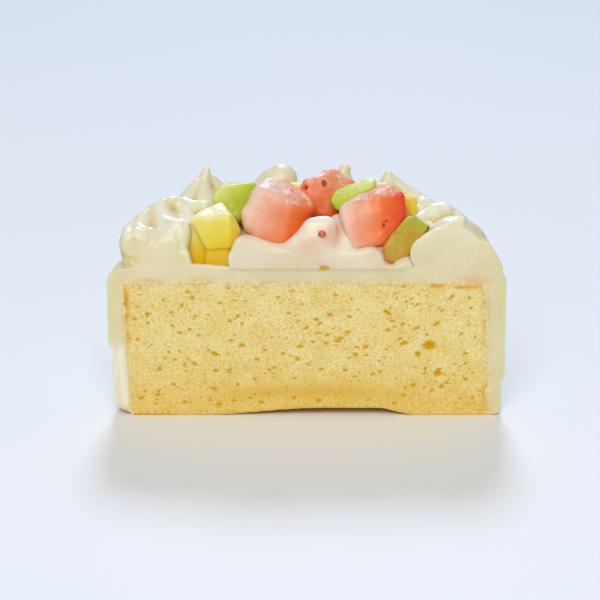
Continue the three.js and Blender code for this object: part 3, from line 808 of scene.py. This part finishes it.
BED_MASS = (((3, 9, 43), (26, 22, 9.6)), ((0, 23, 44.5), (31, 15, 11)), ((-4, 14, 46), (16, 11, 8.4)))
BED_STROKES = (
    ((-18.6, 1.5, 48.8, 5.1), (-17.6, 3, 50.8, 5.3), (-12.5, 3.4, 48.8, 5.2), (-7, 3.4, 47.8, 5.2)),
    ((-19, 1, 45, 4.6), (0, 1, 45, 5.5), (14, 1, 45, 5.2), (22, 1, 44, 3.6), (30, 1, 43.6, 3.4)),
    ((-5.2, 3.4, 48.2, 5.2), (-2, 3.8, 51.2, 4.8), (0.6, 4.6, 54.2, 4.4), (1.8, 5, 57.4, 3.6),
     (3.4, 5, 58, 3.4)),
    ((4.6, 3, 50, 5), (4.8, 4.2, 54, 4.6), (5.8, 5, 57.8, 3.7)),
    ((9.4, 5, 49, 5), (11.6, 7, 49.6, 6), (12.4, 8.5, 49.6, 6.4)),
    ((9.4, 7.5, 51.5, 4.4), (10.2, 9.5, 54.8, 3.6), (9.6, 12, 57, 3)),
    ((8, 2.4, 47, 5.2), (16, 2.4, 46.8, 5.2), (18.6, 2.6, 47.9, 5)),
    ((29.4, 3.4, 45.2, 4.3), (30, 6, 46, 4)),
    ((22.6, 9, 48.4, 5.4), (27.5, 9.5, 47.6, 5)),
)
BED_PROUD = 0.1  # how far it stands out past the coat's cut
SEED = (4.5, -0.1, 57.2)
SEED_SIZE = (1.2, 0.6, 1.05)
CRUMB = (5.2, -0.1, 46.8)
CRUMB_SIZE = (1.4, 0.5, 0.6)

bed = bmesh.new()
add_strokes(bed, BED_STROKES)
for middle, half in BED_MASS:
    place = Matrix.Translation(middle) @ Matrix.Diagonal((*half, 1))
    bmesh.ops.create_icosphere(bed, subdivisions=5, radius=1, matrix=place)
cut_away(bed, (0, 0, COAT_TOP - SINK), (0, 0, -1))
cut_away(bed, (0, -BED_PROUD, 0), (0, -1, 0))
bed = fused(bed, voxel=0.42, rounds=4)
soften(bed, [vert for vert in bed.verts if vert.co.z > 48.5 and vert.co.y < 8 and vert.co.x > -18], 30)
cream_skin(bed)
stain, hollow, edge_tint_and_shade = [layer(bed, name) for name in ("stain", "hollow", "edge_tint_and_shade")]
for vert in bed.verts:
    x, y, z = vert.co
    in_front = smooth_step(2.5, 1, y)
    # Painted shade along the crease where the bed meets the coat's cut, from the edge and hollow masks; the
    # edge mask also tints the bed's right end.
    line = COAT_TOP - 0.3 + 0.25 * rough(x, 3, 0, 7)
    vert[edge_tint_and_shade] = in_front * max(smooth_step(line + 0.2, line - 0.3, z), smooth_step(24, 29, x))
    crease_shade = in_front * math.exp(-(((z - line) / 0.4) ** 2)) * smooth_step(30, 24, x)
    vert[hollow] = max(vert[hollow], 0.55 * crease_shade)
    under = smooth_step(COAT_TOP + 0.6, COAT_TOP - 2.2, z + 0.3 * rough(x, 5, 0, 4))
    to_right = smooth_step(27, 31.5, x) * smooth_step(51, 48, z)
    vert.co.y += 0.24 * in_front * max(under, to_right)
    beside_seed = 0.6 * smooth_step(5, 0.5, math.hypot((x - 7) * 0.75, z - 56.5)) * smooth_step(1, 6, x)
    patchy = smooth_step(0.1, 0.6, rough(x, 3, z, 6))
    by_dice = 0.35 * smooth_step(2.5, 0, abs(z - 55 - 0.05 * abs(x))) * patchy
    under_seed = 0.35 * smooth_step(5, 1, math.hypot(x - 0.5, z - 54))
    from_peach = math.hypot((x - 9.6) * 1.2, (z + SLOPE * y - 56) * 0.5)
    by_peach = 0.8 * smooth_step(3, 1, from_peach) * smooth_step(5, 7, y)
    vert[stain] = max(beside_seed, by_dice, under_seed, by_peach)
pinkish = cream_material("bed_cream", "efe2ca", "ead6b8", "eeab8f", "e8c896")
put_in_place(bed, "bed_of_cream", pinkish, "bed_cream", "cream_bed")


def small_lump(middle, half, uneven):
    """A little rough lump of the given half sizes, round the given middle."""
    body = bmesh.new()
    place = Matrix.Translation(middle) @ Matrix.Diagonal((*half, 1))
    bmesh.ops.create_icosphere(body, subdivisions=4, radius=1, matrix=place)
    body.normal_update()
    for vert in body.verts:
        vert.co += vert.normal * uneven * rough(*vert.co, 0.7, 2)
    return body


def seed_material():
    material, tree, surface = new_material("seed_skin")
    colour = blend_colours(tree, patch_mask(tree, 900, 0.4, 0.6), shade("c93c38"), shade("e27a72"))
    set_sockets(surface, {
        "Base Color": colour,
        "Roughness": 0.3,
        "Subsurface Weight": 0.4,
        "Subsurface Scale": 0.0005,
    })
    return material


seed = small_lump(SEED, SEED_SIZE, uneven=0.1)
put_in_place(seed, "fallen_seed", seed_material(), "strawberry")
crumb = small_lump(CRUMB, CRUMB_SIZE, uneven=0.5)
pore_tint_and_shade = layer(crumb, "pore_tint_and_shade")
for vert in crumb.verts:
    vert[pore_tint_and_shade] = 0.85 + 0.5 * rough(*vert.co, 0.6)
put_in_place(crumb, "fallen_crumb", bpy.data.materials["sponge_crumb"], "crumb")

# The fruit. Knife-cut dice of strawberry, kiwi and peach, wet from standing, with corners rounded as
# much as their flesh is soft. They lie on the bed or stand pressed into it, against the dollops.

ROUNDED = {"strawberry": 2.4, "kiwi": 1.3, "peach": 1.1}  # radius of the corners
LUMPS = {"strawberry": 0.9, "kiwi": 0.5, "peach": 0.5}  # how uneven the faces are
FROST_AND_SHEEN = {"strawberry": 1, "kiwi": 0.4, "peach": 0.55}  # how thick the frosted grain is on top, whitened there partly as painted sheen
TUCKED_IN = 0.75  # how far inside a corner its ball sits, of the ball's radius

# Each die's corners; the way towards its deeper coloured side, which is down unless given, deeper partly
# in its own colour and partly as painted shade; the tone at its middle, how fast it gains that way, and the
# pits that are seen on it: across, up and radius.
FRUIT = {
    "strawberry_1": dict(
        way=(0.85, -0.1, -0.5), tone=0.35, gain=0.047,
        corners=((-4.4, 4.5, 64.2), (-7.2, 5, 51.9), (-15.5, 9.5, 68.2), (-18.8, 9.5, 61),
                 (-18, 9.5, 55.7), (-13.4, 7, 53.6), (2.4, 10.5, 61.7), (-1.1, 9.5, 57.3),
                 (-12.6, 16, 69.3), (-6.5, 19, 68.6), (-1.7, 17, 65.8), (-17.3, 20, 55.4),
                 (-0.5, 19, 57.9)),
    ),
    "strawberry_2": dict(
        way=(0.2, 0, -1), tone=0.64, gain=0.03, pits=((-0.2, 72.4, 1), (5.4, 73.9, 1.2)),
        corners=((-0.5, 22, 67.2), (2.9, 24, 68.7), (6.3, 27, 70), (9.7, 29, 69.2), (14, 27, 66.2),
                 (-1.1, 21, 64.3), (2.9, 19.5, 57.4), (9, 20, 56.2), (13, 22, 58), (14.9, 24, 62.9),
                 (1.1, 31, 55.6), (12, 33, 55.1)),
    ),
    "strawberry_3": dict(
        way=(1, 0, -0.1), tone=0.5, gain=0.05, pits=((23.2, 60, 0.8), (24, 61.2, 0.5)),
        corners=((10.3, 6.5, 62.8), (12.7, 4, 54.8), (14.3, 3, 51.5), (22.3, 4, 53.2), (27.4, 7, 57.4),
                 (29.5, 10, 61.8), (29, 12, 65.9), (22, 8, 66.6), (15.3, 8, 65.5), (11.4, 7.5, 63.4),
                 (26.4, 15, 67.6), (19.2, 17, 65.4), (11.7, 17, 53.7), (23.9, 17, 52.1),
                 (28.7, 17, 58.4)),
    ),
    "strawberry_4": dict(
        tone=0.5, gain=0.04,
        corners=((-20.5, 26.5, 52), (-10, 24.5, 51.5), (-8.6, 34, 51.5), (-19, 36, 52), (-20.8, 26.8, 61),
                 (-10.5, 25, 62.4), (-8.8, 33.5, 62), (-19.5, 35.5, 60.8)),
    ),
    "kiwi_1": dict(
        way=(0.8, 0, -0.6), tone=0.45, gain=0.07,
        corners=((-28.4, 18, 63.2), (-26.3, 19, 66.5), (-23.3, 20, 67), (-16, 23, 66.3), (-16, 19, 57.9),
                 (-20.2, 16.5, 56.7), (-25.7, 17, 59.7), (-24.4, 28, 65.2), (-16.2, 30, 64.3),
                 (-24.8, 28, 57.7), (-16.2, 30, 55.9)),
    ),
    "kiwi_2": dict(
        way=(-0.6, 0, -0.6), tone=0.32, gain=0.04,
        corners=((7.5, 13.5, 63.1), (8.6, 13, 61.4), (10.7, 13.5, 61.5), (13.1, 14.5, 63.6),
                 (16.8, 15.5, 66), (20.3, 17, 67.5), (8.6, 17.5, 64.9), (13.8, 19.5, 67.3),
                 (19, 21, 68.4), (20.7, 20, 68.3), (11.7, 20, 62.3), (19.4, 21.5, 65.7)),
    ),
    "kiwi_3": dict(
        way=(-0.7, 0, -0.5), tone=0.97, gain=0.009, grain=0.1,
        corners=((29.9, 8.5, 59.3), (32.7, 12, 59.1), (35.9, 10.5, 56.6), (35.2, 8.5, 55.6),
                 (24.7, 5, 55), (22.9, 3.2, 51.3), (23.3, 2.6, 48.6), (25.6, 2.4, 47.8),
                 (29.5, 3.2, 49.2), (31.9, 5.5, 52.8), (28.3, 14, 56.1), (34.5, 14, 51.4),
                 (26.8, 12, 48.1)),
    ),
    "kiwi_4": dict(
        tone=0.4, gain=0.06,
        corners=((17, 24, 51), (26, 22, 51), (29, 31, 51.5), (19, 33, 51.5), (16.6, 24, 59.5),
                 (25.6, 22.4, 60), (28.6, 31, 60.4), (19.4, 32.6, 59.6)),
    ),
    "peach_1": dict(
        way=(0.3, 0, -1), tone=0.42, gain=0.05,
        corners=((-34.6, 5, 60.2), (-23.3, 3.8, 61.5), (-30.6, 12, 61.3), (-26, 15, 62.6),
                 (-22.5, 11, 60), (-29.6, 3.8, 51.3), (-23.1, 3.3, 52), (-20.2, 7, 56.1),
                 (-21, 5.5, 53.4), (-28.1, 13, 51.6), (-22.9, 13, 52.6)),
    ),
    "peach_2": dict(
        tone=0.85, gain=0.05,
        corners=((-29.5, 5, 54.6), (-23.8, 4.5, 54.6), (-30, 3.9, 46), (-23.7, 3.3, 46),
                 (-29.8, 11, 48.7), (-23.8, 11, 49.1), (-29.9, 11, 45.6), (-23.8, 11, 45.6)),
    ),
    "peach_3": dict(
        way=(0.4, 0, -1), tone=0.45, gain=0.07,
        corners=((-38, 10, 56.4), (-35.1, 10, 57), (-28.8, 6.5, 56), (-28, 6, 50.5), (-28, 6, 46),
                 (-36, 7.8, 45.4), (-38, 9, 52), (-33.9, 17, 54.9), (-30.3, 16, 54), (-33.4, 16, 46.1),
                 (-30, 15, 47.3)),
    ),
    "peach_4": dict(
        tone=0.6, gain=0.05,
        corners=((29.6, 17, 64.4), (31.7, 16.5, 64), (32.9, 16, 61.8), (32.4, 15.5, 58.3),
                 (29.9, 16, 57.1), (30.2, 25, 62.4), (33, 25, 60.7), (33, 24, 56.5), (30.2, 24, 55.5)),
    ),
    "peach_5": dict(
        tone=0.4, gain=0.05,
        corners=((-6.5, 29, 65), (-0.7, 29.5, 64.8), (-0.7, 27, 56), (-6.8, 27, 56), (-6.5, 36, 63.5),
                 (-0.7, 36, 63.3), (-6.5, 35, 56), (-0.7, 35, 56)),
    ),
    "peach_6": dict(
        tone=0.3, gain=0.05,
        corners=((20.1, 25, 65.4), (24.3, 24, 66.2), (24.6, 23, 64.1), (20.3, 22, 59.2), (24.9, 22, 59.2),
                 (20.9, 31, 64.5), (24.6, 31, 64.5), (20.9, 30, 58.7), (24.9, 30, 58.7)),
    ),
}


def cut_die(corners, radius):
    """The skin round balls that sit just inside the corners."""
    body = bmesh.new()
    middle = sum((Vector(corner) for corner in corners), Vector()) / len(corners)
    for corner in corners:
        inside = Vector(corner) + (middle - Vector(corner)).normalized() * radius * TUCKED_IN
        bmesh.ops.create_icosphere(body, subdivisions=2, radius=radius, matrix=Matrix.Translation(inside))
    hull = bmesh.ops.convex_hull(body, input=body.verts[:])
    bmesh.ops.delete(body, geom=list({*hull["geom_interior"], *hull["geom_unused"]}), context="VERTS")
    return body, middle


def shape_die(body, middle, die, family, seed):
    """Uneven knife-cut faces, a grainy wet top, small red pits, and masks for tone, deeper on facets as
    painted shade, for frost, whiter on top partly as painted sheen, and for pits.
    """
    tone, frost_and_sheen, pit = [layer(body, name) for name in ("tone", "frost_and_sheen", "pit")]
    way = Vector(die.get("way", (0, 0, -1))).normalized()
    body.normal_update()
    for vert in body.verts:
        x, y, z = vert.co
        up = smooth_step(0.45, 0.85, vert.normal.z)
        move = LUMPS[family] * (rough(x + seed, y, z, 5.5, 1) + 0.14 * rough(x, y + seed, z, 1.8, 2))
        on_top = FROST_AND_SHEEN[family] * up * smooth_step(-0.45, 0.3, rough(x, y + seed, z, 2.5))
        vert[frost_and_sheen] = max(on_top, die.get("grain", 0))
        # Deeper the given way through the die, partly its own colour, and deeper on facets turned that way
        # as painted shade.
        deeper_and_shaded = die["gain"] * way.dot(vert.co - middle) + 0.14 * way.dot(vert.normal)
        vert[tone] = die["tone"] + deeper_and_shaded + 0.12 * rough(x, y, z + seed, 5)
        for across, height, radius in die.get("pits", ()):
            off = math.hypot(x - across, z + SLOPE * y - height) * (1 + 0.5 * rough(x, y, z, 0.8))
            if SLOPE * vert.normal.z > vert.normal.y:
                vert[pit] = max(vert[pit], smooth_step(1, 0.5, off / radius))
        vert.co += vert.normal * (move - 0.4 * vert[pit])


def flesh_material(name, tones, frost_and_sheen_colour, pit_colour, translucent):
    """Wet fruit flesh: colours from the palest tone to the deepest, with a frosted grain on top, whitened
    partly as painted sheen and flecked with painted glints.
    """
    material, tree, surface = new_material(name)
    ramp = add_node(tree, "ShaderNodeValToRGB", {"Fac": attribute(tree, "tone")})
    stops = ramp.color_ramp.elements
    stops[0].color = shade(tones[0])
    stops[1].color = shade(tones[-1])
    for number in range(1, len(tones) - 1):
        stops.new(number / (len(tones) - 1)).color = shade(tones[number])
    # Frost whitens the top, partly as painted sheen, and flecks it with white specks as painted glints.
    frost_and_sheen = attribute(tree, "frost_and_sheen")
    colour = tinted(tree, ramp.outputs["Color"], frost_and_sheen_colour, frost_and_sheen, 0.2)
    cells = {"Vector": add_node(tree, "ShaderNodeTexCoord").outputs["Object"], "Scale": 1500.0}
    cells = add_node(tree, "ShaderNodeTexVoronoi", cells).outputs["Distance"]
    painted_glints = calculated(tree, "MULTIPLY", frost_and_sheen, ranged(tree, cells, 0.42, 0.24))
    colour = tinted(tree, colour, "fffaf4", painted_glints, 0.9)
    colour = tinted(tree, colour, pit_colour, attribute(tree, "pit"))
    rise = calculated(tree, "MULTIPLY", grains(tree, 2300.0, 1.0), calculated(tree, "ADD", frost_and_sheen, 0.2))
    set_sockets(surface, {
        "Base Color": colour,
        "Roughness": ranged(tree, frost_and_sheen, 0, 1, 0.46, 0.6),
        "Subsurface Weight": 0.85,
        "Subsurface Radius": translucent,
        "Subsurface Scale": 0.0016,
        "Coat Weight": 0.12,
        "Coat Roughness": 0.26,
        "Normal": bumps(tree, rise, 0.6, 0.0004),
    })
    return material


FLESH = {
    "strawberry": flesh_material(
        "strawberry_flesh", ("ffd4c0", "ffa27a", "ff7c2a", "ee3c1e"), "fdeee6", "c2281e", (1, 0.4, 0.25)),
    "kiwi": flesh_material(
        "kiwi_flesh", ("e0e488", "cdd936", "b6ca06", "d08e04"), "f0f0c4", "5b4a14", (0.8, 1, 0.2)),
    "peach": flesh_material(
        "peach_flesh", ("f5edb0", "f2de54", "f0cc10", "ebbe00"), "f8f2cc", "c98a1c", (1, 0.8, 0.25)),
}
for number, (name, die) in enumerate(FRUIT.items()):
    family = name.split("_")[0]
    body, middle = cut_die(die["corners"], ROUNDED[family])
    body = fused(body, voxel=0.3, rounds=4)
    shape_die(body, middle, die, family, 20 * number)
    put_in_place(body, f"die_of_{name}", FLESH[family], family, name)

# The table, the light and the camera. A plain pale floor runs back out of sight under soft white
# light, most of it from above and behind, so that the shadow falls softly to the front.

FLOOR_HALF = 4  # in metres, as all sizes from here on are
FLOOR_BELOW = 0.00003  # a hair under the base
ELEVATION = math.radians(17)
DISTANCE = 0.75
AIM = Vector((-0.002, CUT_DEPTH, 0.0366))
LAMPS_AIM = Vector((0, 0, 0.03))

floor_mesh = bmesh.new()
bmesh.ops.create_grid(floor_mesh, x_segments=1, y_segments=1, size=FLOOR_HALF)
bmesh.ops.translate(floor_mesh, verts=floor_mesh.verts, vec=(0, 0, -FLOOR_BELOW))
floor = add_object("table_top", as_mesh(floor_mesh, "table_top"))
floor_material, floor_tree, floor_surface = new_material("pale_table")
floor_colour = blend_colours(floor_tree, patch_mask(floor_tree, 3), shade("f0f2f5"), shade("f2f3f6"))
set_sockets(floor_surface, {"Base Color": floor_colour, "Roughness": 0.7})
floor.data.materials.append(floor_material)

sky = bpy.data.worlds.new("studio")
bpy.context.scene.world = sky
sky.use_nodes = True
set_sockets(sky.node_tree.nodes["Background"], {"Color": shade("eff5fc"), "Strength": 0.37})


def add_light(kind, name, at, energy):
    """A lamp of the given kind, turned to the cake."""
    light = bpy.data.lights.new(name, kind)
    light.energy = energy
    lamp = add_object(name, light)
    lamp.location = at
    lamp.rotation_euler = (LAMPS_AIM - Vector(at)).to_track_quat("-Z", "Y").to_euler()
    return light


window = add_light("SUN", "window_behind", at=(0.02, 1, 0.77), energy=1.16)
window.angle = math.radians(14)
window.color = (0.87, 1.03, 1.34)
fill = add_light("AREA", "soft_fill_in_front", at=(-0.15, -2, 1.9), energy=41)
fill.size = 1.5
fill.color = (1, 0.96, 0.86)

camera_data = bpy.data.cameras.new("camera")
camera_data.lens = 150
camera_data.sensor_width = 36
camera = add_object("camera", camera_data)
camera.location = AIM + DISTANCE * Vector((0, -math.cos(ELEVATION), math.sin(ELEVATION)))
camera.rotation_euler = (math.pi / 2 - ELEVATION, 0, 0)
bpy.context.scene.camera = camera
bpy.context.scene.view_settings.view_transform = "Standard"
